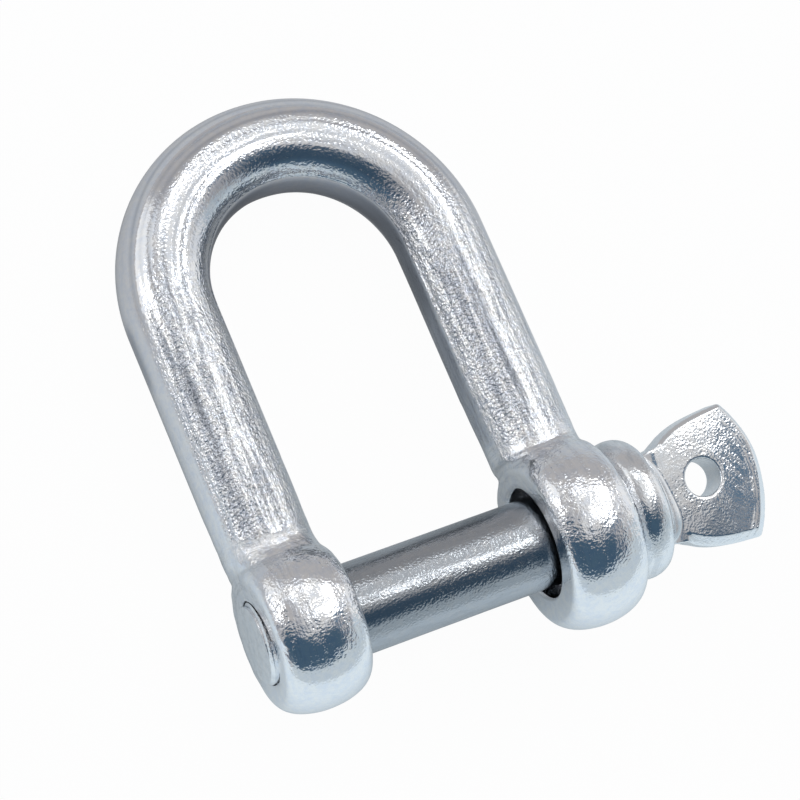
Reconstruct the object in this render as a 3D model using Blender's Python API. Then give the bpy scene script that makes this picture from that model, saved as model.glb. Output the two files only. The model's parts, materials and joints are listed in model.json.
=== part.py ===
"""Chain joining shackle: a forged D-shaped bow closed by a screw pin, lying as it comes to rest.

The working frame of both pieces has its origin on the pin's axis, midway between the legs. +X runs
along the pin from the tapped ear to the plain ear, +Y runs from the pin to the crown of the bow, and
+Z is normal to the plane of the bow. Sizes are in metres.
"""

import math
from dataclasses import dataclass

import bmesh
import bpy
from mathutils import Matrix, Vector
from mathutils.geometry import interpolate_bezier

# Bow
BAR_DIAMETER = 0.0100
INSIDE_WIDTH = 0.0211
LEG_LENGTH = 0.0349
CROWN_STRETCH = 1.014

# Ears
JAW_WIDTH = 0.0218
JAW_SHIFT = 0.0003
TAPPED_EAR_DIAMETER = 0.0177
TAPPED_EAR_FACE_DIAMETER = 0.0133
TAPPED_EAR_WIDTH = 0.0096
TAPPED_EAR_LIFT = 0.0002
TAPPED_NECK_RADIUS = 0.0024
PLAIN_EAR_DIAMETER = 0.0205
PLAIN_EAR_FACE_DIAMETER = 0.0162
PLAIN_EAR_WIDTH = 0.0090
PLAIN_EAR_LIFT = -0.0003
PLAIN_NECK_RADIUS = 0.0008

# Bores
TAPPED_LIP_RADIUS = 0.0002
TAPPED_BORE_GAP = 0.0003
PLAIN_LIP_RADIUS = 0.0005
PLAIN_BORE_GAP = 0.00105

# Pin shank and collar, with a plain end of about the thread's pitch diameter in place of the thread
PIN_DIAMETER = 0.0098
THREAD_DIAMETER = 0.0088
TIP_CHAMFER = 0.0003
TIP_STAND_OUT = 0.0005
SEAT_GAP = 0.0003
COLLAR_DIAMETER = 0.0154
COLLAR_FACE_DIAMETER = 0.0126
COLLAR_WIDTH = 0.0040

# Spade head
NECK_DIAMETER = 0.0106
NECK_LENGTH = 0.0008
RAMP_LENGTH = 0.0020
SPADE_THICKNESS = 0.0042
SPADE_CORNER_WIDTH = 0.0151
SPADE_BELLY_WIDTH = 0.0145
SPADE_BELLY_START = 0.0026
SPADE_BELLY_END = 0.0052
SPADE_SIDE_LENGTH = 0.0086
SPADE_END_RISE = 0.0024
SPADE_EDGE_RADIUS = 0.0012
SPADE_CORNER_RADIUS = 0.0006
SPADE_TURN = math.radians(13.1)
WIRE_HOLE_DIAMETER = 0.0040
WIRE_HOLE_INSET = 0.0039
WIRE_HOLE_OFFSET = 0.0006
WIRE_HOLE_LIP = 0.0003

# Facets
BAR_SIDES = 32
CROWN_STEPS = 36
EAR_STEPS = 48
PROFILE_STEPS = 10
LIP_STEPS = 3
NECK_STEPS = 5
SPADE_STEPS = 10
RIM_SEGMENTS = 3
WIRE_HOLE_STEPS = 32
SHARP_ANGLE = math.radians(35)
CORNER_ANGLE = math.radians(30)

# Overlaps inside the metal, where two forms are joined into one
ROOT_DEPTH = 0.0015
ROOT_WALL = 0.0002
CUTTER_MARGIN = 0.0020
MERGE_DISTANCE = 0.000001

# Ring shapes: a round bar, and the squarer section of a forged root
ROUND = 2
SQUARISH = 3
SETTLING_ROUNDS = 8


@dataclass(frozen=True)
class Ear:
    """One ear of the bow: a barrel about an axis beside the pin's, flat on its two faces."""

    side: int
    diameter: float
    face_diameter: float
    width: float
    lift: float
    neck_radius: float
    bore: float
    lip: float

    @property
    def inner_x(self) -> float:
        """Where the face towards the jaw stands."""
        return JAW_SHIFT + self.side * JAW_WIDTH / 2

    @property
    def outer_x(self) -> float:
        """Where the face away from the jaw stands."""
        return self.inner_x + self.side * self.width

    @property
    def middle_x(self) -> float:
        """Half way between the two faces."""
        return (self.inner_x + self.outer_x) / 2


TAPPED_EAR = Ear(-1, TAPPED_EAR_DIAMETER, TAPPED_EAR_FACE_DIAMETER, TAPPED_EAR_WIDTH, TAPPED_EAR_LIFT,
                 TAPPED_NECK_RADIUS, THREAD_DIAMETER + 2 * TAPPED_BORE_GAP, TAPPED_LIP_RADIUS)
PLAIN_EAR = Ear(1, PLAIN_EAR_DIAMETER, PLAIN_EAR_FACE_DIAMETER, PLAIN_EAR_WIDTH, PLAIN_EAR_LIFT,
                PLAIN_NECK_RADIUS, PIN_DIAMETER + 2 * PLAIN_BORE_GAP, PLAIN_LIP_RADIUS)
COLLAR_X = PLAIN_EAR.outer_x + SEAT_GAP
NECK_X = COLLAR_X + COLLAR_WIDTH
FLAT_X = NECK_X + NECK_LENGTH + RAMP_LENGTH
CORNER_X = FLAT_X + SPADE_SIDE_LENGTH


def clear_scene():
    """Removes every object of the scene."""
    for thing in list(bpy.data.objects):
        bpy.data.objects.remove(thing, do_unlink=True)


def metal(name, colour, roughness):
    """A plated steel surface."""
    finish = bpy.data.materials.new(name)
    finish.use_nodes = True
    shader = finish.node_tree.nodes["Principled BSDF"]
    shader.inputs["Base Color"].default_value = (*colour, 1.0)
    shader.inputs["Metallic"].default_value = 1.0
    shader.inputs["Roughness"].default_value = roughness
    return finish


def place(name, bm, parent):
    """Makes an object of a bmesh, in the working frame."""
    bmesh.ops.recalc_face_normals(bm, faces=bm.faces)
    mesh = bpy.data.meshes.new(name)
    bm.to_mesh(mesh)
    bm.free()
    thing = bpy.data.objects.new(name, mesh)
    thing.parent = parent
    bpy.context.scene.collection.objects.link(thing)
    return thing


def combine(body, tool, operation):
    """Joins a form to a body or cuts it away, and keeps the form as a guide."""
    tool.hide_render = True
    tool.display_type = "WIRE"
    step = body.modifiers.new(tool.name, "BOOLEAN")
    step.operation = operation
    step.solver = "EXACT"
    step.object = tool


def smooth(thing, material):
    """Gives a piece its material and smooth shading between its sharp edges."""
    thing.data.materials.append(material)
    thing.data.shade_smooth()
    thing.data.set_sharp_from_angle(angle=SHARP_ANGLE)


def oval(centre, across, half_across, half_high, power, sides=BAR_SIDES):
    """A ring of points, round at power 2 and squarer above it, in the plane of across and Z."""
    ring = []
    for k in range(sides):
        angle = math.tau * k / sides
        cos = math.cos(angle)
        sin = math.sin(angle)
        u = half_across * math.copysign(abs(cos) ** (2 / power), cos)
        v = half_high * math.copysign(abs(sin) ** (2 / power), sin)
        ring.append(centre + u * across + v * Vector((0, 0, 1)))
    return ring


def loft(rings):
    """A closed body through a row of rings."""
    bm = bmesh.new()
    loops = []
    for ring in rings:
        verts = [bm.verts.new(point) for point in ring]
        loops.append([bm.edges.new((a, b)) for a, b in zip(verts, verts[1:] + verts[:1])])
    for first, second in zip(loops, loops[1:]):
        bmesh.ops.bridge_loops(bm, edges=first + second)
    bmesh.ops.holes_fill(bm, edges=loops[0] + loops[-1])
    return bm


def turned(profile, centre_y=0.0, steps=EAR_STEPS):
    """A body of revolution about a line along X, from (x, radius) points that start and end on it."""
    bm = bmesh.new()
    verts = [bm.verts.new((x, centre_y, radius)) for x, radius in profile]
    edges = [bm.edges.new(pair) for pair in zip(verts, verts[1:])]
    bmesh.ops.spin(bm, geom=verts + edges, cent=(0, centre_y, 0), axis=(1, 0, 0), angle=math.tau,
                   steps=steps, use_merge=True)
    bmesh.ops.remove_doubles(bm, verts=bm.verts, dist=MERGE_DISTANCE)
    return bm


def barrel(start_x, end_x, face_radius, radius):
    """Profile of a flat-ended barrel, its side half an ellipse."""
    middle = (start_x + end_x) / 2
    half = (end_x - start_x) / 2
    points = [(start_x, 0.0)]
    for k in range(PROFILE_STEPS + 1):
        angle = math.pi * k / PROFILE_STEPS
        bulge = (radius - face_radius) * math.sin(angle)
        points.append((middle - half * math.cos(angle), face_radius + bulge))
    points.append((end_x, 0.0))
    return points


def bore(start_x, end_x, radius, lip):
    """Profile of a cutter for a hole with a rounded lip at each face."""
    entry = []
    for k in range(LIP_STEPS + 1):
        angle = math.pi / 2 * (1 - k / LIP_STEPS)
        entry.append((lip * (1 - math.sin(angle)), radius + lip * (1 - math.cos(angle))))
    mouth = radius + lip
    points = [(start_x - CUTTER_MARGIN, 0.0), (start_x - CUTTER_MARGIN, mouth)]
    points += [(start_x + depth, r) for depth, r in entry]
    points += [(end_x - depth, r) for depth, r in reversed(entry)]
    points += [(end_x + CUTTER_MARGIN, mouth), (end_x + CUTTER_MARGIN, 0.0)]
    return points


def neck_rings(ear):
    """The foot of one leg, from inside its ear up to the straight bar."""
    bar_radius = BAR_DIAMETER / 2
    leg_x = ear.side * (INSIDE_WIDTH + BAR_DIAMETER) / 2
    ear_radius = ear.diameter / 2
    reach = ear_radius + ear.neck_radius
    rise = math.sqrt(reach ** 2 - (bar_radius + ear.neck_radius) ** 2)
    touch = math.asin(rise / reach)
    foot_half = ear.width / 2 - ROOT_WALL
    across = Vector((ear.side, 0, 0))
    rings = []
    for k in range(NECK_STEPS):
        share = k / NECK_STEPS
        angle = touch * share
        centre_x = leg_x + (ear.middle_x - leg_x) * share
        y = ear.lift + rise - ear.neck_radius * math.sin(angle)
        high = bar_radius + ear.neck_radius * (1 - math.cos(angle))
        half = bar_radius + (foot_half - bar_radius) * share
        rings.append(oval(Vector((centre_x, y, 0)), across, half, high, ROUND + share * (SQUARISH - ROUND)))
    root_y = ear.lift + rise - ear.neck_radius * math.sin(touch) - ROOT_DEPTH
    rings.append(oval(Vector((ear.middle_x, root_y, 0)), across, foot_half, bar_radius, SQUARISH))
    return rings[::-1]


def crown_rings():
    """The bend over the top, from the tapped side to the plain side."""
    mean = (INSIDE_WIDTH + BAR_DIAMETER) / 2
    rings = []
    for k in range(CROWN_STEPS + 1):
        angle = math.pi * (1 - k / CROWN_STEPS)
        radial = Vector((math.cos(angle), math.sin(angle), 0))
        ring = oval(mean * radial, radial, BAR_DIAMETER / 2, BAR_DIAMETER / 2, ROUND)
        rings.append([Vector((p.x, LEG_LENGTH + CROWN_STRETCH * p.y, p.z)) for p in ring])
    return rings


def make_bow(parent, material):
    """The forged body: bar, two ears and their bores."""
    bow = place("bow", loft(neck_rings(TAPPED_EAR) + crown_rings() + neck_rings(PLAIN_EAR)[::-1]), parent)
    for name, ear in (("tapped_ear", TAPPED_EAR), ("plain_ear", PLAIN_EAR)):
        low_x, high_x = sorted((ear.inner_x, ear.outer_x))
        form = turned(barrel(low_x, high_x, ear.face_diameter / 2, ear.diameter / 2), ear.lift)
        combine(bow, place(name + "_form", form, parent), "UNION")
    for name, ear in (("tapped_bore", TAPPED_EAR), ("plain_bore", PLAIN_EAR)):
        low_x, high_x = sorted((ear.inner_x, ear.outer_x))
        cutter = turned(bore(low_x, high_x, ear.bore / 2, ear.lip))
        combine(bow, place(name + "_cutter", cutter, parent), "DIFFERENCE")
    smooth(bow, material)
    return bow


def spade_outline():
    """Plan of the spade as (x, width) points: two bellied sides, two small corners and a round end."""
    belly = SPADE_BELLY_WIDTH / 2
    corner = SPADE_CORNER_WIDTH / 2
    start = Vector((NECK_X, NECK_DIAMETER / 2 - 2 * ROOT_WALL, 0))
    shoulder = Vector((FLAT_X, NECK_DIAMETER / 2, 0))
    tip = Vector((CORNER_X, corner, 0))
    side = [start]
    side += interpolate_bezier(shoulder, Vector((FLAT_X + SPADE_BELLY_START, belly, 0)),
                               Vector((FLAT_X + SPADE_BELLY_END, belly, 0)), tip, SPADE_STEPS)
    radius = (corner ** 2 + SPADE_END_RISE ** 2) / (2 * SPADE_END_RISE)
    reach = math.asin(corner / radius)
    centre_x = CORNER_X + SPADE_END_RISE - radius
    end = []
    for k in range(1, SPADE_STEPS):
        angle = reach * (1 - 2 * k / SPADE_STEPS)
        end.append(Vector((centre_x + radius * math.cos(angle), radius * math.sin(angle), 0)))
    return side + end + [Vector((p.x, -p.y, 0)) for p in reversed(side)]


def spade_blade():
    """The flat of the head: its plan, extruded and rounded along both rims."""
    bm = bmesh.new()
    verts = [bm.verts.new(point) for point in spade_outline()]
    face = bm.faces.new(verts)
    tall = bmesh.ops.extrude_face_region(bm, geom=[face])
    top = [item for item in tall["geom"] if isinstance(item, bmesh.types.BMVert)]
    bmesh.ops.translate(bm, verts=top, vec=(0, 0, SPADE_THICKNESS))
    bmesh.ops.translate(bm, verts=bm.verts, vec=(0, 0, -SPADE_THICKNESS / 2))
    bmesh.ops.recalc_face_normals(bm, faces=bm.faces)
    posts = [e for e in bm.edges if abs(e.verts[0].co.z - e.verts[1].co.z) > SPADE_THICKNESS / 2]
    corners = [e for e in posts if e.calc_face_angle() > CORNER_ANGLE and e.verts[0].co.x > FLAT_X]
    bmesh.ops.bevel(bm, geom=corners, offset=SPADE_CORNER_RADIUS, segments=RIM_SEGMENTS, profile=0.5,
                    material=-1, affect="EDGES", clamp_overlap=True)
    rims = [e for e in bm.edges if abs(e.verts[0].co.z - e.verts[1].co.z) < MERGE_DISTANCE]
    bmesh.ops.bevel(bm, geom=rims, offset=SPADE_EDGE_RADIUS, segments=RIM_SEGMENTS, profile=0.5,
                    material=-1, affect="EDGES", clamp_overlap=True)
    return bm


def spade_ramp():
    """The neck behind the collar and the ramps that lead down to the flat."""
    neck = NECK_DIAMETER / 2
    flat = SPADE_THICKNESS / 2 - ROOT_WALL
    across = Vector((0, 1, 0))
    rings = []
    for x in (NECK_X - ROOT_DEPTH, NECK_X + NECK_LENGTH):
        rings.append(oval(Vector((x, 0, 0)), across, neck, neck, ROUND))
    for k in range(1, NECK_STEPS + 1):
        angle = math.pi / 2 * k / NECK_STEPS
        x = FLAT_X - RAMP_LENGTH * math.cos(angle)
        high = neck - (neck - flat) * math.sin(angle)
        half = neck - 2 * ROOT_WALL * k / NECK_STEPS
        power = ROUND + (SQUARISH - ROUND) * k / NECK_STEPS
        rings.append(oval(Vector((x, 0, 0)), across, half, high, power))
    root = oval(Vector((FLAT_X + ROOT_DEPTH, 0, 0)), across, neck - 4 * ROOT_WALL, flat / 2, SQUARISH)
    return loft(rings + [root])


def make_pin(parent, material):
    """The screw pin: threaded end, shank, collar, neck and spade."""
    thread = THREAD_DIAMETER / 2
    radius = PIN_DIAMETER / 2
    tip_x = TAPPED_EAR.outer_x - TIP_STAND_OUT
    shoulder_x = TAPPED_EAR.inner_x + SEAT_GAP
    profile = [(tip_x, 0.0), (tip_x, thread - TIP_CHAMFER), (tip_x + TIP_CHAMFER, thread)]
    profile += [(shoulder_x, thread), (shoulder_x, radius), (COLLAR_X, radius)]
    profile += barrel(COLLAR_X, NECK_X, COLLAR_FACE_DIAMETER / 2, COLLAR_DIAMETER / 2)[1:]
    pin = place("screw_pin", turned(profile), parent)
    ramp = place("neck_form", spade_ramp(), parent)
    blade = place("spade_form", spade_blade(), parent)
    hole_x = FLAT_X + WIRE_HOLE_INSET
    half = SPADE_THICKNESS / 2
    hole = bore(-half, half, WIRE_HOLE_DIAMETER / 2, WIRE_HOLE_LIP)
    cutter = place("wire_hole_cutter", turned(hole, steps=WIRE_HOLE_STEPS), parent)
    for form in (ramp, blade):
        form.rotation_euler.x = SPADE_TURN
    upright = Matrix.Rotation(SPADE_TURN, 4, "X") @ Matrix.Translation((hole_x, WIRE_HOLE_OFFSET, 0))
    cutter.matrix_local = upright @ Matrix.Rotation(math.pi / 2, 4, "Y")
    combine(pin, ramp, "UNION")
    combine(pin, blade, "UNION")
    combine(pin, cutter, "DIFFERENCE")
    smooth(pin, material)
    return pin


def points_of(thing):
    """The corners of a piece as its modifiers leave it, in the world."""
    bpy.context.view_layer.update()
    seen = thing.evaluated_get(bpy.context.evaluated_depsgraph_get())
    mesh = seen.to_mesh()
    points = [seen.matrix_world @ vertex.co for vertex in mesh.vertices]
    seen.to_mesh_clear()
    return points


def lay_down(frame, bow, pieces):
    """Turns the frame until both ears and the crown touch the ground, centred over the origin."""
    points = points_of(bow)
    half_leg = LEG_LENGTH / 2
    feet = [[p for p in points if p.y < half_leg and p.x < 0],
            [p for p in points if p.y < half_leg and p.x > 0],
            [p for p in points if p.y > half_leg]]
    normal = Vector((0, 0, 1))
    for _ in range(SETTLING_ROUNDS):
        tapped, plain, crown = (min(foot, key=normal.dot) for foot in feet)
        normal = (plain - tapped).cross(crown - tapped).normalized()
    frame.rotation_mode = "QUATERNION"
    frame.rotation_quaternion = normal.rotation_difference(Vector((0, 0, 1)))
    corners = [p for piece in pieces for p in points_of(piece)]
    low = [min(p[i] for p in corners) for i in range(3)]
    high = [max(p[i] for p in corners) for i in range(3)]
    frame.location = (-(low[0] + high[0]) / 2, -(low[1] + high[1]) / 2, -low[2])
    bpy.context.view_layer.update()


def main():
    """Builds both pieces under one empty and lays them down."""
    clear_scene()
    frame = bpy.data.objects.new("pin_axis", None)
    bpy.context.scene.collection.objects.link(frame)
    bow = make_bow(frame, metal("plated_forging", (0.78, 0.80, 0.83), 0.30))
    pin = make_pin(frame, metal("plated_pin", (0.74, 0.77, 0.81), 0.28))
    lay_down(frame, bow, (bow, pin))


main()
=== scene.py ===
"""Looks of the chain joining shackle: a zinc-plated forged bow closed by its screw pin, on a pale floor.

Pieces are shaped in the pin's frame, in metres: the origin on the pin's axis midway between the legs, +X
along the pin from the tapped ear to the plain ear, +Y from the pin to the crown of the bow, and +Z normal to
the bow's plane. A finished mesh is then carried to the row frame, and its object stays at the origin.
"""

import json
import logging
import math
from dataclasses import dataclass
from enum import Enum
from typing import Callable, Iterable, Sequence

import bmesh
import bpy
from mathutils import Matrix, Vector, geometry, noise
from mathutils.kdtree import KDTree

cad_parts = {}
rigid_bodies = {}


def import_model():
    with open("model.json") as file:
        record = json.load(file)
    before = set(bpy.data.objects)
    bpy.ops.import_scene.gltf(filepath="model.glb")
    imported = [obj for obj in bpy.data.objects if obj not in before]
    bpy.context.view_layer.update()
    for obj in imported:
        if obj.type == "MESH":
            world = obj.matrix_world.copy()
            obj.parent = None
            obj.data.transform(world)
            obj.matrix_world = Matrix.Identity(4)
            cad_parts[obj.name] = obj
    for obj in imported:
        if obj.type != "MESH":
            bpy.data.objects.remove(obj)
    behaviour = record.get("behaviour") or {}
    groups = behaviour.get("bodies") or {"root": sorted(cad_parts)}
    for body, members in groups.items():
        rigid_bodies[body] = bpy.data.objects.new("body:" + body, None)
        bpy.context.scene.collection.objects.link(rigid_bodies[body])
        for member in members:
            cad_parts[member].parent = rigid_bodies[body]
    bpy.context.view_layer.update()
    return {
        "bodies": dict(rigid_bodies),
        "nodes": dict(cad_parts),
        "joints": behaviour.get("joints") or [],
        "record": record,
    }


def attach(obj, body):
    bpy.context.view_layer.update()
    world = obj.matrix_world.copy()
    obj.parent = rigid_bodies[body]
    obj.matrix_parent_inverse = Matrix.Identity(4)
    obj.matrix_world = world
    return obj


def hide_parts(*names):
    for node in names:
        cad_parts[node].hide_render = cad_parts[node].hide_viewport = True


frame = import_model()

log = logging.getLogger("shackle")

MERGE_DISTANCE = 1e-6
INSET = 0.00003
COLLAR_WIDTH = 0.0040
TIP_REACH = 1e-5
TIP_DIGITS = 6
GRAIN = "grain_line"
# The attribute of how dull, streaked and grainy the plating is. Its dull channel carries painted shade too.
PLATING_AND_SHADE = "plating"
SECTION = "section_angle"
Z_AXIS = Vector((0, 0, 1))
ROUND = 2
SQUARED = 3
SHARP_ANGLE = math.radians(38)


class Cut(Enum):
    """What a Boolean step does with its tool."""

    JOIN = "UNION"
    TAKE = "DIFFERENCE"


def smoothstep(low: float, high: float, value: float) -> float:
    """Rises smoothly from 0 at low to 1 at high."""
    share = min(1.0, max(0.0, (value - low) / (high - low)))
    return share * share * (3 - 2 * share)


def new_object(name: str, bm: bmesh.types.BMesh) -> bpy.types.Object:
    """Makes an object of a bmesh, and frees the bmesh.

    Args:
        name: The object's name.
        bm: Its shape.

    Returns:
        The object, linked to the scene.
    """
    mesh = bpy.data.meshes.new(name)
    bm.to_mesh(mesh)
    bm.free()
    thing = bpy.data.objects.new(name, mesh)
    bpy.context.scene.collection.objects.link(thing)
    return thing


def shaped(thing: bpy.types.Object) -> bmesh.types.BMesh:
    """Takes an object's shape with its modifiers applied, and removes the object.

    Args:
        thing: A mesh object with live modifiers.

    Returns:
        The finished shape.
    """
    bpy.context.view_layer.update()
    seen = thing.evaluated_get(bpy.context.evaluated_depsgraph_get())
    bm = bmesh.new()
    bm.from_mesh(seen.to_mesh())
    seen.to_mesh_clear()
    bpy.data.objects.remove(thing, do_unlink=True)
    return bm


def combined(body: bmesh.types.BMesh, steps: Iterable[tuple[Cut, bmesh.types.BMesh]]) -> bmesh.types.BMesh:
    """Joins tools to a body or takes them out of it.

    Args:
        body: The shape to work on.
        steps: Each tool with what it does, in order.

    Returns:
        The combined shape.
    """
    thing = new_object("body_form", body)
    tools = []
    for what, tool_shape in steps:
        tool = new_object("tool_form", tool_shape)
        step = thing.modifiers.new("step", "BOOLEAN")
        step.operation = what.value
        step.solver = "EXACT"
        step.object = tool
        tools.append(tool)
    bm = shaped(thing)
    for tool in tools:
        bpy.data.objects.remove(tool, do_unlink=True)
    return bm


def turned(profile: Sequence[tuple[float, float]], steps: int, centre_y: float = 0.0) -> bmesh.types.BMesh:
    """Turns a profile about a line along X.

    Args:
        profile: (x, radius) points, the first and last on the line.
        steps: Facets round the line.
        centre_y: Where the line is.

    Returns:
        The closed body of revolution.
    """
    bm = bmesh.new()
    verts = [bm.verts.new((x, centre_y, radius)) for x, radius in profile]
    edges = [bm.edges.new(pair) for pair in zip(verts, verts[1:])]
    bmesh.ops.spin(bm, geom=verts + edges, cent=(0, centre_y, 0), axis=(1, 0, 0), angle=math.tau,
                   steps=steps, use_merge=True)
    bmesh.ops.remove_doubles(bm, verts=bm.verts, dist=MERGE_DISTANCE)
    bmesh.ops.recalc_face_normals(bm, faces=bm.faces)
    return bm


def barrel(start_x: float, end_x: float, face_radius: float, radius: float,
           rows: int) -> list[tuple[float, float]]:
    """Profile of a flat-ended barrel with half an ellipse for its side.

    Args:
        start_x: The first face.
        end_x: The last face.
        face_radius: Radius of the flat faces.
        radius: Radius at the middle.
        rows: Rows over the rounded side.

    Returns:
        (x, radius) points from one face's centre to the other's.
    """
    middle = (start_x + end_x) / 2
    half = (end_x - start_x) / 2
    flat_rows = 8
    points = [(start_x, face_radius * k / flat_rows) for k in range(flat_rows)]
    for k in range(rows + 1):
        angle = math.pi * k / rows
        swell = (radius - face_radius) * math.sin(angle)
        points.append((middle - half * math.cos(angle), face_radius + swell))
    points += [(end_x, face_radius * k / flat_rows) for k in reversed(range(flat_rows))]
    return points


def lipped_bore(start_x: float, end_x: float, radius: float, lip: float,
                margin: float) -> list[tuple[float, float]]:
    """Profile of a cutter for a hole with a rounded lip at each face.

    Args:
        start_x: The first face.
        end_x: The last face.
        radius: Radius of the hole.
        lip: Radius of its rounded mouth.
        margin: How far the cutter runs past each face.

    Returns:
        (x, radius) points of the cutter.
    """
    lip_rows = 7
    entry = []
    for k in range(lip_rows + 1):
        angle = math.pi / 2 * (1 - k / lip_rows)
        entry.append((lip * (1 - math.sin(angle)), radius + lip * (1 - math.cos(angle))))
    mouth = radius + lip
    points = [(start_x - margin, 0.0), (start_x - margin, mouth)]
    points += [(start_x + depth, r) for depth, r in entry]
    points += [(end_x - depth, r) for depth, r in reversed(entry)]
    points += [(end_x + margin, mouth), (end_x + margin, 0.0)]
    return points


def on_oval(angle: float, half_across: float, half_high: float, power: float) -> tuple[float, float]:
    """A point of an oval that is round at the power ROUND and squarer above it.

    Args:
        angle: Where on the oval.
        half_across: Half its width.
        half_high: Half its height.
        power: How square it is.

    Returns:
        Its place across and up.
    """
    cos = math.cos(angle)
    sin = math.sin(angle)
    across = half_across * math.copysign(abs(cos) ** (2 / power), cos)
    high = half_high * math.copysign(abs(sin) ** (2 / power), sin)
    return across, high


def fill(tree: bpy.types.NodeTree, socket: bpy.types.NodeSocket, value: object) -> None:
    """Links another node's output to a socket, or else sets the socket's own value."""
    if isinstance(value, bpy.types.NodeSocket):
        tree.links.new(value, socket)
    else:
        socket.default_value = value


def add_node(tree: bpy.types.NodeTree, kind: str, *terms: object, **values: object) -> bpy.types.Node:
    """Adds a node, sets its properties and fills its sockets.

    Args:
        tree: The material's nodes.
        kind: The node's type without its ShaderNode prefix.
        *terms: What its first sockets hold, in order: numbers, colours or other nodes' outputs.
        **values: What its named sockets hold, with underscores for spaces, or the node's own properties.

    Returns:
        The node.
    """
    made = tree.nodes.new("ShaderNode" + kind)
    for key, value in values.items():
        socket = made.inputs.get(key.replace("_", " "))
        if socket is None:
            setattr(made, key, value)
        else:
            fill(tree, socket, value)
    for socket, term in zip(made.inputs, terms):
        fill(tree, socket, term)
    return made


def smooth(bm: bmesh.types.BMesh, verts: Iterable[bmesh.types.BMVert], rounds: int) -> None:
    """Evens out some points of a shape, half way to their neighbours' middle each round."""
    verts = list(verts)
    for _ in range(rounds):
        bmesh.ops.smooth_vert(bm, verts=verts, factor=0.5, use_axis_x=True, use_axis_y=True, use_axis_z=True)


def point_tree(points: Iterable[Vector]) -> KDTree:
    """A tree that finds the nearest of some points."""
    points = list(points)
    tree = KDTree(len(points))
    for k, point in enumerate(points):
        tree.insert(point, k)
    tree.balance()
    return tree


def opaque(colour: tuple[float, float, float]) -> tuple[float, float, float, float]:
    """A colour with full alpha."""
    return (*colour, 1.0)


@dataclass(frozen=True)
class PinFrame:
    """The pin's frame in the row frame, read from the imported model."""

    matrix: Matrix

    @classmethod
    def read(cls, packed: dict, tip_x: float, spade_turn: float) -> "PinFrame":
        """Finds the frame from the joint's axis, the spade's upper flat and the pin's flat tip.

        Args:
            tip_x: Where the pin's flat tip stands on its axis.
            spade_turn: How far the spade is turned about the pin's axis.

        Returns:
            The frame.
        """
        joint = packed["joints"][0]
        along = Vector(joint["axis"]).normalized()
        flat = next(m for m in packed["record"]["mounts"] if m["name"] == "spade_upper_flat")
        normal = Matrix.Rotation(-spade_turn, 3, along) @ Vector(flat["axis"])
        normal = (normal - normal.dot(along) * along).normalized()
        points = [v.co for v in packed["nodes"]["screw_pin"].data.vertices]
        lowest = min(p.dot(along) for p in points)
        places = {p.to_tuple(TIP_DIGITS) for p in points if p.dot(along) < lowest + TIP_REACH}
        centre = sum((Vector(p) for p in sorted(places)), Vector()) / len(places)
        matrix = Matrix((along, normal.cross(along), normal)).transposed().to_4x4()
        matrix.translation = centre - along * tip_x
        return cls(matrix)


@dataclass(frozen=True)
class Ear:
    """One ear of the bow: a barrel about an axis beside the pin's, flat on its two faces."""

    side: int
    diameter: float
    face_diameter: float
    width: float
    lift: float
    neck_radius: float
    bore_diameter: float
    lip_radius: float
    jaw_width: float = 0.0218
    jaw_shift: float = 0.0003
    steps: int = 190
    rows: int = 66
    margin: float = 0.0020

    @property
    def inner_x(self) -> float:
        """Where the face towards the jaw stands."""
        return self.jaw_shift + self.side * self.jaw_width / 2

    @property
    def outer_x(self) -> float:
        """Where the face away from the jaw stands."""
        return self.inner_x + self.side * self.width

    @property
    def middle_x(self) -> float:
        """Half way between the two faces."""
        return (self.inner_x + self.outer_x) / 2

    @property
    def low_x(self) -> float:
        """The face that comes first along X."""
        return min(self.inner_x, self.outer_x)

    @property
    def high_x(self) -> float:
        """The face that comes last along X."""
        return max(self.inner_x, self.outer_x)

    def form(self) -> bmesh.types.BMesh:
        """The solid barrel, a hair inside the frame's."""
        profile = barrel(self.low_x + INSET, self.high_x - INSET, self.face_diameter / 2 - INSET,
                         self.diameter / 2 - INSET, self.rows)
        return turned(profile, self.steps, self.lift)

    def bore_form(self) -> bmesh.types.BMesh:
        """The cutter of the hole through it."""
        profile = lipped_bore(self.low_x + INSET, self.high_x - INSET, self.bore_diameter / 2,
                              self.lip_radius, self.margin)
        return turned(profile, self.steps)


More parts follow.
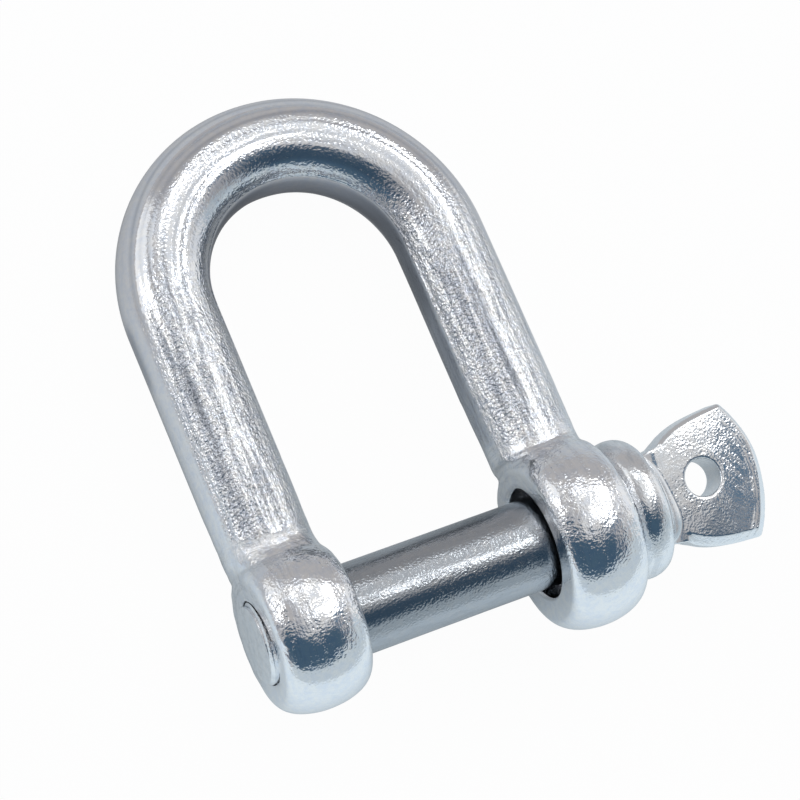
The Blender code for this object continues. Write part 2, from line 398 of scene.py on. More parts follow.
@dataclass(frozen=True)
class DrawMark:
    """A long shallow groove, or a ridge, that the rolls and dies left along the bar.

    Its angle is measured round the section from the outer side towards the upper side, and a ridge has a
    depth below zero. It reaches from one length along the bar to another. The higher its edge, the flatter it
    is across with steeper sides. How much it darkens the plating's colour is dull plating on most marks, and
    painted shade on the dark strips inside the bow and on the band over the crown.
    """

    angle: float
    depth: float
    half_width: float
    wander: float
    # How much the mark darkens the plating's colour: dull plating on most marks, painted shade on the strips
    # inside the bow and on the crown band.
    dull_and_shade: float = 0.0
    start: float = 0.0
    end: float = 0.2
    edge: float = 2.0
    fade: float = 0.008
    reach: float = 0.011
    cut_off: float = 3.0
    mean_strength: float = 0.75
    strength_spread: float = 0.6
    shift_seed: float = 0.5
    strength_seed: float = 7.5

    def share_at(self, along: float, angle: float, radius: float) -> float:
        """How much of the mark shows at one place.

        Args:
            along: Length along the bar.
            angle: Angle round the section.
            radius: Radius of the bar.

        Returns:
            1 in the middle of the mark, falling to 0 beside it.
        """
        seed = math.degrees(self.angle)
        shift = self.wander * noise.noise(Vector((along / self.reach, seed, self.shift_seed)))
        gap = (angle - self.angle + math.pi) % math.tau - math.pi
        away = (gap * radius - shift) / self.half_width
        if abs(away) > self.cut_off:
            return 0.0
        ends = smoothstep(self.start - self.fade, self.start, along)
        ends *= 1 - smoothstep(self.end, self.end + self.fade, along)
        unevenness = noise.noise(Vector((along / self.reach, seed, self.strength_seed)))
        strength = self.mean_strength + self.strength_spread * unevenness
        return ends * strength * math.exp(-abs(away) ** self.edge)


@dataclass(frozen=True)
class Thread:
    """A right-handed metric thread, cut as a helical groove about X."""

    pitch: float
    surface_radius: float
    root_radius: float
    half_mouth: float
    start_x: float
    end_x: float
    overshoot: float = 0.0004
    steps: int = 72
    fade_turns: float = 0.6
    flank_angle: float = math.radians(30)

    def groove(self) -> bmesh.types.BMesh:
        """The helical cutter, whose last part runs out of the metal."""
        depth = self.root_radius - self.surface_radius
        mouth = self.half_mouth
        root = mouth - abs(depth) * math.tan(self.flank_angle)
        back = self.surface_radius - math.copysign(self.overshoot, depth)
        profile = [(-mouth, back), (-mouth, self.surface_radius), (-root, self.root_radius),
                   (root, self.root_radius), (mouth, self.surface_radius), (mouth, back)]
        bm = bmesh.new()
        verts = [bm.verts.new((self.start_x + x, 0, radius)) for x, radius in profile]
        face = bm.faces.new(verts)
        turns = (self.end_x - self.start_x) / self.pitch
        total = round(turns * self.steps)
        bmesh.ops.spin(bm, geom=[face], cent=(0, 0, 0), axis=(1, 0, 0), angle=-math.tau * turns, steps=total,
                       dvec=(self.pitch / self.steps, 0, 0), use_merge=False)
        for vert in bm.verts:
            left = (self.end_x - vert.co.x) / self.pitch
            out = 1 - smoothstep(0.0, self.fade_turns, left)
            radius = math.hypot(vert.co.y, vert.co.z)
            target = radius - out * depth
            vert.co.y *= target / radius
            vert.co.z *= target / radius
        bmesh.ops.recalc_face_normals(bm, faces=bm.faces)
        return bm


@dataclass(frozen=True)
class Bow:
    """The forged body: a drawn bar bent to a U, with an ear on the end of each leg."""

    tapped: Ear
    plain: Ear
    thread: Thread
    marks: tuple[DrawMark, ...]
    bar_diameter: float = 0.0100
    inside_width: float = 0.0211
    leg_length: float = 0.0349
    crown_stretch: float = 1.014
    root_depth: float = 0.0015
    root_wall: float = 0.0002
    sides: int = 200
    crown_steps: int = 100
    leg_step: float = 0.0006
    neck_rows: int = 14
    neck_end_share: float = 0.8
    wave_length: float = 0.016
    wave_width: float = 0.0008
    wave_depth: float = 0.000014
    mean_wave: float = 0.7
    flow_change: tuple[float, float] = (-0.0005, 0.0015)
    bar_change: float = 0.003
    bend_change: tuple[float, float] = (-0.006, 0.008)
    leg_rough: tuple[float, float] = (22.0, 46.0)
    bend_rough: tuple[float, float] = (24.0, 28.0)
    inner_smooth: tuple[float, float] = (138.0, 158.0)
    inner_smooth_share: float = 0.5
    bar_streak: tuple[float, float] = (0.12, 0.88)
    bend_streak_loss: float = 0.60
    bar_grain: tuple[float, float] = (0.16, 0.74)
    bend_grain_loss: float = 0.72
    ear_streak: float = 0.35
    ear_grain: tuple[float, float] = (0.10, 0.24)
    upper_side: tuple[float, float] = (112.0, 144.0)
    crease_angle: float = math.radians(16)
    crease_rounds: tuple[tuple[float, int], ...] = ((0.0010, 2), (0.0007, 4), (0.0004, 6))
    skin_change: tuple[float, float] = (0.002, 0.006)
    broad_sizes: tuple[float, float] = (0.0036, 0.0026)
    broad_depth: float = 0.000022
    mean_broad: float = 0.8
    stroke_sizes: tuple[float, float] = (0.0022, 0.0007)
    stroke_seed: float = 9.0
    stroke_depth: float = 0.000030
    most_stroke: float = 0.8
    dimple_size: float = 0.0011
    dimple_depth: float = 0.000045
    mean_dimple: float = 0.7

    @property
    def mean_radius(self) -> float:
        """Radius of the bend at the middle of the bar."""
        return (self.inside_width + self.bar_diameter) / 2

    @property
    def bar_radius(self) -> float:
        """Radius of the bar, a hair inside the frame's."""
        return self.bar_diameter / 2 - INSET

    def ear_at(self, place: Vector) -> Ear:
        """The ear on a place's side of the bow."""
        return self.tapped if place.x < 0 else self.plain

    def centre_at(self, place: Vector) -> Vector:
        """What the outward direction at a place is measured from: the bend's middle, or the pin's axis."""
        return Vector((0, self.leg_length, 0)) if place.y > self.leg_length else Vector()

    def along(self, place: Vector) -> tuple[float, Vector]:
        """Reads a place on the bar.

        Args:
            place: A point near the bar.

        Returns:
            The length along the bar from the pin's axis, and the outward direction there.
        """
        if place.y <= self.leg_length:
            side = math.copysign(1, place.x)
            length = place.y if side < 0 else 2 * self.leg_length + math.pi * self.mean_radius - place.y
            return length, Vector((side, 0, 0))
        turn = math.pi - math.atan2(place.y - self.leg_length, place.x)
        return self.leg_length + turn * self.mean_radius, Vector((-math.cos(turn), math.sin(turn), 0))

    def neck(self, ear: Ear) -> list[tuple[Vector, float, float, float]]:
        """Stations from the straight leg down into the ear.

        Args:
            ear: The ear that the leg runs into.

        Returns:
            For each station its centre, half width, half height and squareness.
        """
        bar_radius = self.bar_radius
        leg_x = ear.side * self.mean_radius
        reach = ear.diameter / 2 + ear.neck_radius
        rise = math.sqrt(reach ** 2 - (bar_radius + ear.neck_radius) ** 2)
        touch = math.asin(rise / reach)
        foot_half = ear.width / 2 - self.root_wall
        stations = []
        for k in range(self.neck_rows + 1):
            share = self.neck_end_share * k / self.neck_rows
            angle = touch * share
            centre = Vector((leg_x + (ear.middle_x - leg_x) * share,
                             ear.lift + rise - ear.neck_radius * math.sin(angle), 0))
            high = bar_radius + ear.neck_radius * (1 - math.cos(angle))
            stations.append((centre, bar_radius + (foot_half - bar_radius) * share, high, ROUND + share))
        foot = ear.lift + rise - ear.neck_radius * math.sin(touch)
        root = Vector((ear.middle_x, foot - self.root_depth, 0))
        return stations + [(root, foot_half, bar_radius, SQUARED)]

    def leg(self, ear: Ear) -> list[tuple[Vector, float, float, float]]:
        """Stations of one whole leg, from the bend down into the ear."""
        neck = self.neck(ear)
        radius = self.bar_radius
        length = self.leg_length - neck[0][0].y
        rows = round(length / self.leg_step)
        heights = [self.leg_length - length * k / rows for k in range(1, rows)]
        return [(Vector((ear.side * self.mean_radius, y, 0)), radius, radius, ROUND) for y in heights] + neck

    def bar(self) -> bmesh.types.BMesh:
        """The bent bar with its draw marks: a ring spun over the crown and extruded down both legs."""
        bm = bmesh.new()
        layer = bm.verts.layers.float.new(SECTION)
        start = Matrix.Translation((-self.mean_radius, self.leg_length, 0))
        circle = bmesh.ops.create_circle(bm, cap_ends=False, radius=self.bar_radius, segments=self.sides,
                                         matrix=start @ Matrix.Rotation(math.pi / 2, 4, "X"))
        ring = circle["verts"]
        for vert in ring:
            vert[layer] = math.atan2(vert.co.z, -(vert.co.x + self.mean_radius))
        bmesh.ops.spin(bm, geom=ring + bm.edges[:], cent=(0, self.leg_length, 0), axis=(0, 0, 1),
                       angle=-math.pi, steps=self.crown_steps, use_merge=False)
        for vert in bm.verts:
            if vert.co.y > self.leg_length:
                vert.co.y = self.leg_length + (vert.co.y - self.leg_length) * self.crown_stretch
        for ear in (self.tapped, self.plain):
            rim = [e for e in bm.edges if e.is_boundary and e.verts[0].co.x * ear.side > 0]
            for centre, half, high, power in self.leg(ear):
                made = bmesh.ops.extrude_edge_only(bm, edges=rim)["geom"]
                fresh = {item for item in made if isinstance(item, bmesh.types.BMVert)}
                rim = [e for e in made if isinstance(e, bmesh.types.BMEdge) and set(e.verts) <= fresh]
                for vert in fresh:
                    across, up = on_oval(vert[layer], half, high, power)
                    vert.co = centre + Vector((ear.side * across, 0, up))
            bmesh.ops.holes_fill(bm, edges=rim)
        self.mark(bm, layer)
        bmesh.ops.recalc_face_normals(bm, faces=bm.faces)
        return bm

    def mark(self, bm: bmesh.types.BMesh, layer: bmesh.types.BMLayerItem) -> None:
        """Presses the draw marks and the slight waviness of a drawn bar into its surface.

        Args:
            bm: The bar.
            layer: Each point's angle round the section.
        """
        radius = self.bar_diameter / 2
        for vert in bm.verts:
            length, out = self.along(vert.co)
            angle = vert[layer]
            radial = math.cos(angle) * out + math.sin(angle) * Z_AXIS
            depth = sum(m.depth * m.share_at(length, angle, radius) for m in self.marks)
            wave = Vector((length / self.wave_length, radius * math.cos(angle) / self.wave_width,
                           radius * math.sin(angle) / self.wave_width))
            depth += self.wave_depth * (self.mean_wave + noise.noise(wave))
            vert.co -= radial * depth

    def flow(self, place: Vector) -> Vector:
        """Unrolls a place so that the first number runs the way the metal flowed.

        Args:
            place: A point on the bow.

        Returns:
            Length along the flow, and two lengths across it.
        """
        length, out = self.along(place)
        ear = self.ear_at(place)
        bar = Vector((length, (place - self.centre_at(place)).dot(out), place.z))
        radius = ear.diameter / 2
        away = math.hypot(place.y - ear.lift, place.z)
        turn = abs(math.atan2(place.z, place.y - ear.lift))
        length = radius * (math.pi / 2 - turn)
        if ear.side > 0:
            length = 2 * self.leg_length + math.pi * self.mean_radius - length
        round_ear = Vector((length, place.x, away))
        low, high = self.flow_change
        return round_ear.lerp(bar, smoothstep(radius + low, radius + high, away))

    def plating(self, place: Vector) -> Vector:
        """How the plating looks at a place.

        Args:
            place: A point on the bow.

        Returns:
            How dull it is, with painted shade on the strips inside the bow and on the crown band, how
            streaked and how grainy it is, each 0 where it is bright and smooth.
        """
        length, out = self.along(place)
        across = (place - self.centre_at(place)).dot(out) - self.mean_radius
        angle = math.atan2(place.z, across)
        ear = self.ear_at(place)
        away = math.hypot(place.y - ear.lift, place.z)
        on_bar = smoothstep(ear.diameter / 2, ear.diameter / 2 + self.bar_change, away)
        # The marks' darkening: dull plating, and painted shade on the strips inside the bow and on the crown
        # band.
        dull_and_shade = sum(m.dull_and_shade * m.share_at(length, angle, self.bar_diameter / 2) for m in self.marks)
        turn = abs(math.degrees(angle))
        bend = smoothstep(*(self.leg_length + y for y in self.bend_change), place.y)
        rough = smoothstep(self.leg_rough[0] + self.bend_rough[0] * bend,
                           self.leg_rough[1] + self.bend_rough[1] * bend, turn)
        rough *= 1 - self.inner_smooth_share * smoothstep(*self.inner_smooth, turn)
        upper = self.upper_share(place)
        streak = (self.bar_streak[0] + self.bar_streak[1] * rough) * (1 - self.bend_streak_loss * bend)
        grain = (self.bar_grain[0] + self.bar_grain[1] * rough) * (1 - self.bend_grain_loss * bend)
        ear_streak = self.ear_streak * upper
        ear_grain = self.ear_grain[0] + self.ear_grain[1] * upper
        return Vector((on_bar * dull_and_shade, ear_streak + (streak - ear_streak) * on_bar,
                       ear_grain + (grain - ear_grain) * on_bar))

    def upper_share(self, place: Vector) -> float:
        """How far a place of an ear is on its rough upper side, 0 on the smooth lower side."""
        turn = abs(math.degrees(math.atan2(place.z, place.y - self.ear_at(place).lift)))
        return 1 - smoothstep(*self.upper_side, turn)

    def ease_creases(self, bm: bmesh.types.BMesh) -> None:
        """Rounds the crease where each leg runs into its ear.

        Args:
            bm: The joined bow.
        """
        touching = set()
        for edge in bm.edges:
            if edge.is_manifold and edge.calc_face_angle() > self.crease_angle:
                middle = (edge.verts[0].co + edge.verts[1].co) / 2
                ear = self.ear_at(middle)
                away = math.hypot(middle.y - ear.lift, middle.z)
                if away > ear.face_diameter / 2 and middle.y > 0:
                    touching.update(edge.verts)
        tree = point_tree(vert.co for vert in touching)
        near = [(tree.find(v.co)[2], v) for v in bm.verts if 0 < v.co.y < self.leg_length / 2]
        for reach, rounds in self.crease_rounds:
            smooth(bm, (v for gap, v in near if gap < reach), rounds)

    def roughen(self, bm: bmesh.types.BMesh) -> None:
        """Gives the ears and necks the uneven skin of a forging.

        Args:
            bm: The joined bow, before its holes are cut.
        """
        bm.normal_update()
        moves = []
        for vert in bm.verts:
            ear = self.ear_at(vert.co)
            away = math.hypot(vert.co.y - ear.lift, vert.co.z) - ear.diameter / 2
            share = 1 - smoothstep(*self.skin_change, away)
            if share <= 0:
                continue
            flow = self.flow(vert.co)
            long, wide = self.broad_sizes
            broad = noise.noise(Vector((flow.x / long, flow.y / wide, flow.z / wide)))
            long, wide = self.stroke_sizes
            stroke = noise.noise(Vector((flow.x / long, flow.y / wide, flow.z / wide + self.stroke_seed)))
            dimple = noise.noise(vert.co / self.dimple_size)
            rough = self.stroke_depth * (self.most_stroke - abs(stroke))
            rough += self.dimple_depth * (self.mean_dimple + dimple)
            depth = self.broad_depth * (self.mean_broad + broad) + self.upper_share(vert.co) * rough
            moves.append((vert, vert.normal * -depth * share))
        for vert, move in moves:
            vert.co += move

    def build(self, place: Matrix) -> bpy.types.Object:
        """Makes the whole bow.

        Args:
            place: The pin's frame in the row frame.

        Returns:
            The bow's object.
        """
        bm = combined(self.bar(), [(Cut.JOIN, self.tapped.form()), (Cut.JOIN, self.plain.form())])
        bmesh.ops.triangulate(bm, faces=[f for f in bm.faces if len(f.verts) > 4])
        self.ease_creases(bm)
        self.roughen(bm)
        bm = combined(bm, [(Cut.TAKE, self.tapped.bore_form()), (Cut.TAKE, self.plain.bore_form()),
                           (Cut.TAKE, self.thread.groove())])
        return finished("bow_forging", bm, self.flow, self.plating, place)


@dataclass(frozen=True)
class Spade:
    """The flat head of the pin with its ramps and its hole for seizing wire."""

    neck_x: float
    neck_diameter: float = 0.0106
    neck_length: float = 0.0008
    ramp_length: float = 0.0020
    ramp_slant: float = 0.35
    ramp_skew: float = 0.16
    ramp_lead: float = 0.0010
    thickness: float = 0.0042
    corner_width: float = 0.0151
    belly_width: float = 0.0145
    belly_start: float = 0.0026
    belly_end: float = 0.0052
    side_length: float = 0.0086
    end_rise: float = 0.0024
    ramp_rows: int = 16
    edge_draft: float = 0.0010
    edge_slope: float = 0.9
    draft_change: float = 0.003
    least_draft_share: float = 0.45
    corner_radius: float = 0.0006
    turn: float = math.radians(13.1)
    hole_diameter: float = 0.0040
    hole_inset: float = 0.0039
    hole_offset: float = 0.0006
    hole_lip: float = 0.0003
    root_depth: float = 0.0015
    root_wall: float = 0.0002
    crown: float = 0.00028
    edge_marks: tuple[float, ...] = (0.0009, 0.0016)
    mark_height: float = 0.000070
    mark_half_width: float = 0.00020
    mark_reach: float = 0.0025
    mean_mark: float = 0.6
    mark_spread: float = 0.8
    corner_angle: float = math.radians(30)
    outline_rows: int = 26
    rim_step: float = 0.0001
    rim_rows: int = 6
    sides: int = 96

    @property
    def flat_x(self) -> float:
        """Where the ramps end and the flat begins."""
        return self.neck_x + self.neck_length + self.ramp_length

    @property
    def corner_x(self) -> float:
        """Where the two corners stand."""
        return self.flat_x + self.side_length

    def outline(self) -> list[Vector]:
        """Plan of the flat: two bellied sides, two corners and a round end."""
        belly = self.belly_width / 2 - INSET
        corner = self.corner_width / 2 - INSET
        neck = self.neck_diameter / 2
        ends = (Vector((self.flat_x, neck, 0)), Vector((self.corner_x, corner, 0)))
        pulls = [Vector((self.flat_x + x, belly, 0)) for x in (self.belly_start, self.belly_end)]
        curve = geometry.interpolate_bezier(ends[0], pulls[0], pulls[1], ends[1], self.outline_rows + 1)
        side = [Vector((self.neck_x, neck - 2 * self.root_wall, 0))] + curve
        rise = self.end_rise - INSET
        radius = (corner ** 2 + rise ** 2) / (2 * rise)
        reach = math.asin(corner / radius)
        end = []
        for k in range(1, self.outline_rows):
            angle = reach * (1 - 2 * k / self.outline_rows)
            x = self.corner_x + rise - radius * (1 - math.cos(angle))
            end.append(Vector((x, radius * math.sin(angle), 0)))
        return side + end + [Vector((p.x, -p.y, 0)) for p in reversed(side)]

    def blade(self) -> bmesh.types.BMesh:
        """The flat: its plan, extruded and rounded along both rims."""
        bm = bmesh.new()
        face = bm.faces.new([bm.verts.new(point) for point in self.outline()])
        thick = self.thickness - 2 * INSET
        tall = bmesh.ops.extrude_face_region(bm, geom=[face])
        top = [item for item in tall["geom"] if isinstance(item, bmesh.types.BMVert)]
        bmesh.ops.translate(bm, verts=top, vec=(0, 0, thick))
        bmesh.ops.translate(bm, verts=bm.verts, vec=(0, 0, -thick / 2))
        bmesh.ops.recalc_face_normals(bm, faces=bm.faces)
        posts = [e for e in bm.edges if abs(e.verts[0].co.z - e.verts[1].co.z) > thick / 2]
        corners = [e for e in posts
                   if e.calc_face_angle() > self.corner_angle and e.verts[0].co.x > self.flat_x]
        bmesh.ops.bevel(bm, geom=corners, offset=self.corner_radius, segments=self.rim_rows, profile=0.5,
                        material=-1, affect="EDGES", clamp_overlap=True)
        rims = [e for e in bm.edges if abs(e.verts[0].co.z - e.verts[1].co.z) < MERGE_DISTANCE]
        bmesh.ops.bevel(bm, geom=rims, offset=self.corner_radius / 2, segments=1, profile=0.5,
                        material=-1, affect="EDGES", clamp_overlap=True)
        return bm

    def ramp(self) -> bmesh.types.BMesh:
        """The neck behind the collar and the ramps that lead down to the flat."""
        neck = self.neck_diameter / 2 - INSET
        flat = self.thickness / 2 - self.root_wall
        ends = (self.neck_x - self.root_depth, self.neck_x + self.neck_length)
        stations = [(x, neck, neck, 0) for x in ends]
        for k in range(1, self.ramp_rows + 1):
            share = k / self.ramp_rows
            angle = math.pi / 2 * share
            fall = (1 - self.ramp_slant) * math.sin(angle) + self.ramp_slant * (1 - math.cos(angle))
            stations.append((self.flat_x - self.ramp_length * math.cos(angle),
                             neck - 2 * self.root_wall * share, neck - (neck - flat) * fall, share))
        stations.append((self.flat_x + self.root_depth, neck - 4 * self.root_wall, flat / 2, 1))
        bm = bmesh.new()
        loops = []
        for x, half, high, share in stations:
            place = Matrix.Translation((x, 0, 0)) @ Matrix.Rotation(math.pi / 2, 4, "Y")
            made = bmesh.ops.create_circle(bm, cap_ends=False, radius=neck, segments=self.sides, matrix=place)
            edges = {edge for vert in made["verts"] for edge in vert.link_edges}
            for vert in made["verts"]:
                across, up = on_oval(math.atan2(vert.co.z, vert.co.y), half, high, ROUND + share)
                vert.co = Vector((x + self.ramp_skew * (self.ramp_lead - across) * share, across, up))
            loops.append(list(edges))
        for first, second in zip(loops, loops[1:]):
            bmesh.ops.bridge_loops(bm, edges=first + second)
        bmesh.ops.holes_fill(bm, edges=loops[0] + loops[-1])
        bmesh.ops.recalc_face_normals(bm, faces=bm.faces)
        return bm

    def hole(self) -> bmesh.types.BMesh:
        """The cutter of the wire hole, upright through the flat."""
        half = self.thickness / 2
        profile = lipped_bore(-half, half, self.hole_diameter / 2, self.hole_lip, self.root_depth)
        bm = turned(profile, self.sides)
        upright = Matrix.Translation((self.flat_x + self.hole_inset, self.hole_offset, 0))
        bmesh.ops.transform(bm, matrix=upright @ Matrix.Rotation(math.pi / 2, 4, "Y"), verts=bm.verts)
        return bm

    def rim(self) -> KDTree:
        """Points close together along the plan's edge, to measure a place's distance from it."""
        plan = self.outline()
        points = []
        for first, last in zip(plan, plan[1:]):
            steps = max(1, round((last - first).length / self.rim_step))
            points += [first.lerp(last, k / steps) for k in range(steps)]
        return point_tree(points)

    def crown_faces(self, bm: bmesh.types.BMesh) -> None:
        """Swells both faces of the flat a little and drafts its rim, as a forging die leaves them.

        Args:
            bm: The head, with the spade turned as it stands.
        """
        level = Matrix.Rotation(-self.turn, 3, "X")
        upright = level.inverted() @ Z_AXIS
        half_long = (self.corner_x + self.end_rise - self.flat_x) / 2
        middle_x = self.flat_x + half_long
        rim = self.rim()
        for vert in bm.verts:
            place = level @ vert.co
            if place.x < self.neck_x:
                continue
            away = ((place.x - middle_x) / half_long) ** 2 + (2 * place.y / self.belly_width) ** 2
            side = max(-1.0, min(1.0, place.z / (self.thickness / 2)))
            share = smoothstep(self.neck_x, self.flat_x, place.x)
            drafted = smoothstep(self.flat_x, self.flat_x + self.edge_draft, place.x)
            gap = rim.find(Vector((place.x, place.y, 0)))[2]
            lower = smoothstep(-self.draft_change, self.draft_change, -place.y)
            draft = self.edge_draft * (self.least_draft_share + (1 - self.least_draft_share) * lower)
            drop = self.crown * away * share - self.mark_height * self.edge_mark(place)
            drop += self.edge_slope * max(0.0, draft - gap) * drafted
            vert.co -= upright * drop * side

    def edge_mark(self, place: Vector) -> float:
        """How much of a ridge along the round end runs through a place.

        Args:
            place: A point in the spade's own level frame.

        Returns:
            1 on a ridge, falling to 0 beside it.
        """
        corner = self.corner_width / 2
        radius = (corner ** 2 + self.end_rise ** 2) / (2 * self.end_rise)
        inset = radius - math.hypot(place.x - (self.corner_x + self.end_rise - radius), place.y)
        gaps = [(inset - mark) / self.mark_half_width for mark in self.edge_marks]
        strength = self.mean_mark + self.mark_spread * noise.noise(place / self.mark_reach)
        return strength * sum(math.exp(-gap * gap) for gap in gaps)

    def forms(self) -> list[tuple[Cut, bmesh.types.BMesh]]:
        """What is joined to the collar and taken out of it, turned as the spade stands."""
        steps = [(Cut.JOIN, self.ramp()), (Cut.JOIN, self.blade()), (Cut.TAKE, self.hole())]
        for _, bm in steps:
            bmesh.ops.rotate(bm, verts=bm.verts, cent=(0, 0, 0), matrix=Matrix.Rotation(self.turn, 3, "X"))
        return steps


@dataclass(frozen=True)
class ScrewPin:
    """The pin: shank with its plain nose and its thread, collar and spade head."""

    thread: Thread
    spade: Spade
    tip_x: float
    collar_x: float
    diameter: float = 0.0098
    nose_diameter: float = 0.0088
    nose_length: float = 0.0013
    tip_chamfer: float = 0.0003
    collar_diameter: float = 0.0154
    collar_face_diameter: float = 0.0126
    collar_width: float = COLLAR_WIDTH
    steps: int = 144
    row_step: float = 0.0005
    shank_wave: tuple[float, float] = (0.004, 0.003)
    shank_wave_depth: float = 0.000010
    mean_wave: float = 0.7
    collar_rows: int = 24
    head_grain: float = 0.00012
    head_rounds: int = 4
    head_waves: tuple[tuple[float, float], ...] = ((0.0024, 0.000020), (0.0008, 0.000006))
    mean_head_wave: float = 0.8
    stroke_slant: float = math.radians(55)
    collar_change: float = 0.0004
    neck_change: tuple[float, float] = (-0.0004, 0.0002)
    flat_change: tuple[float, float] = (-0.0001, 0.0004)
    shank_change: tuple[float, float] = (-0.012, -0.010)
    shank_dull: float = 1.2
    streaks: tuple[float, float, float] = (0.30, 0.30, -0.60)
    grains: tuple[float, float, float, float] = (0.32, -0.02, -0.20, 0.14)

    def shank(self) -> bmesh.types.BMesh:
        """The turned shank with its chamfered nose, ending inside the collar."""
        radius = self.diameter / 2 - INSET
        nose = self.nose_diameter / 2 - INSET
        end = self.collar_x + self.collar_width / 2
        tip = self.tip_x + INSET
        start = tip + self.nose_length + radius - nose
        rows = round((end - start) / self.row_step)
        profile = [(tip, 0.0), (tip, nose / 2), (tip, nose - self.tip_chamfer),
                   (tip + self.tip_chamfer, nose), (tip + self.nose_length, nose)]
        profile += [(start + (end - start) * k / rows, radius) for k in range(rows + 1)]
        bm = turned(profile + [(end, 0.0)], self.steps)
        for vert in bm.verts:
            away = math.hypot(vert.co.y, vert.co.z)
            if away > (nose + radius) / 2:
                long, wide = self.shank_wave
                wave = Vector((vert.co.x / long, vert.co.y / wide, vert.co.z / wide))
                shrink = 1 - self.shank_wave_depth * (self.mean_wave + noise.noise(wave)) / away
                vert.co.y *= shrink
                vert.co.z *= shrink
        return bm

    def head(self) -> bmesh.types.BMesh:
        """Collar, ramps and spade as one forging with even, soft edges."""
        collar = turned(barrel(self.collar_x + INSET, self.spade.neck_x, self.collar_face_diameter / 2,
                               self.collar_diameter / 2 - INSET, self.collar_rows), self.steps)
        thing = new_object("head_form", combined(collar, self.spade.forms()))
        even = thing.modifiers.new("even", "REMESH")
        even.mode = "VOXEL"
        even.voxel_size = self.head_grain
        bm = shaped(thing)
        smooth(bm, bm.verts, self.head_rounds)
        self.spade.crown_faces(bm)
        bm.normal_update()
        moves = []
        for vert in bm.verts:
            depth = sum(deep * (self.mean_head_wave + noise.noise(vert.co / size))
                        for size, deep in self.head_waves)
            moves.append(vert.normal * -depth)
        for vert, move in zip(bm.verts, moves):
            vert.co += move
        return bm

    def flow(self, place: Vector) -> Vector:
        """Unrolls a place so that the first number runs with the tool marks.

        Args:
            place: A point on the pin.

        Returns:
            Length along the drawn shank, round the collar and obliquely over the spade, and two lengths
            across.
        """
        away = math.hypot(place.y, place.z)
        round_axis = Vector((math.atan2(place.y, place.z) * self.collar_diameter / 2, place.x, away))
        turned_share = smoothstep(self.collar_x - self.collar_change, self.collar_x, place.x)
        level = Matrix.Rotation(-self.spade.turn, 3, "X")
        oblique = Matrix.Rotation(self.stroke_slant, 3, "Z") @ level @ place
        share = smoothstep(self.spade.neck_x, self.spade.flat_x, place.x)
        return place.lerp(round_axis, turned_share).lerp(oblique, share)

    def plating(self, place: Vector) -> Vector:
        """How dull, streaked and grainy the plating is at a point on the pin.

        The streaks and the grain have a share for the shank, then what the collar, the neck and the flat add.
        """
        on_collar = smoothstep(self.collar_x - self.collar_change, self.collar_x, place.x)
        off_collar = smoothstep(*(self.spade.neck_x + x for x in self.neck_change), place.x)
        on_flat = smoothstep(*(self.spade.flat_x + x for x in self.flat_change), place.x)
        on_shank = smoothstep(*self.shank_change, place.x) * (1 - on_collar)
        parts = (1.0, on_collar, off_collar, on_flat)
        return Vector((self.shank_dull * on_shank, sum(a * b for a, b in zip(self.streaks, parts)),
                       sum(a * b for a, b in zip(self.grains, parts))))

    def build(self, place: Matrix) -> bpy.types.Object:
        """Makes the whole pin.

        Args:
            place: The pin's frame in the row frame.

        Returns:
            The pin's object.
        """
        bm = combined(self.shank(), [(Cut.TAKE, self.thread.groove())])
        bm = combined(bm, [(Cut.JOIN, self.head())])
        return finished("pin_turning", bm, self.flow, self.plating, place)


def finished(name: str, bm: bmesh.types.BMesh, flow: Callable[[Vector], Vector],
             plating: Callable[[Vector], Vector], place: Matrix) -> bpy.types.Object:
    """Closes a shape's last seams, keeps its flow and plating as attributes and carries it to the row frame.

    Args:
        name: The piece's name.
        bm: Its shape in the pin's frame.
        flow: What unrolls a point along the metal's flow.
        plating: What gives how dull, streaked and grainy the plating is at a point, with painted shade
            included in the dull share.
        place: The pin's frame in the row frame.

    Returns:
        The piece, shaded smooth between its sharp edges.
    """
    bmesh.ops.remove_doubles(bm, verts=bm.verts, dist=MERGE_DISTANCE)
    bmesh.ops.triangulate(bm, faces=[f for f in bm.faces if len(f.verts) > 4])
    kept = {GRAIN: [flow(vert.co) for vert in bm.verts], PLATING_AND_SHADE: [plating(vert.co) for vert in bm.verts]}
    bmesh.ops.transform(bm, matrix=place, verts=bm.verts)
    piece = new_object(name, bm)
    for label, vectors in kept.items():
        attribute = piece.data.attributes.new(label, "FLOAT_VECTOR", "POINT")
        attribute.data.foreach_set("vector", [value for vector in vectors for value in vector])
    piece.data.shade_smooth()
    piece.data.set_sharp_from_angle(angle=SHARP_ANGLE)
    return piece


